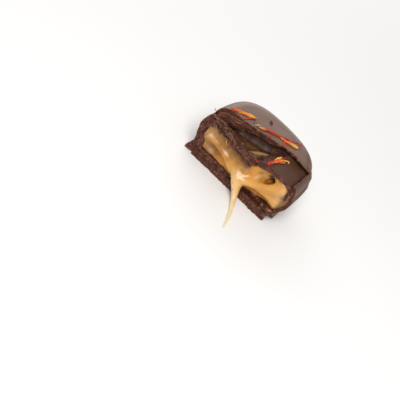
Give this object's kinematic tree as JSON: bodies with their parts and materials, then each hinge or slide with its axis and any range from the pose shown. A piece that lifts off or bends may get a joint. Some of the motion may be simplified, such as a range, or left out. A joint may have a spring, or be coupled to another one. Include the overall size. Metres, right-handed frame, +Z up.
{
  "type": "cut half of a chocolate-coated chewy caramel with saffron threads",
  "caption": "Half of a square dark chocolate with a soft caramel filling: broken top, coat, base slab, filling with a pulled string, and dried saffron threads",
  "frame": {"origin": "middle of the flat underside of the sweet, on the base slab, level with what it rests on", "axes": "+Z up. The cut is across X: seen from the cut, +X is to the right and +Y goes back into the sweet. The cut face looks along -Y, and the caramel string runs out along -Y on the surface in front."},
  "size_m": [0.0336, 0.0368, 0.0176],
  "materials": {
    "coat": "satin tempered dark chocolate, grey-brown where it reflects the light",
    "broken": "rough broken dark chocolate, reddish brown with light flecks",
    "caramel": "glossy soft golden caramel with fine dark specks"
  },
  "bodies": {
    "root": {"shell": "coat", "base_slab": "broken", "caramel": "caramel", "sunken_shard": "coat", "bent_flap": "coat", "crushed_edge": "broken"}
  },
  "joints": []
}
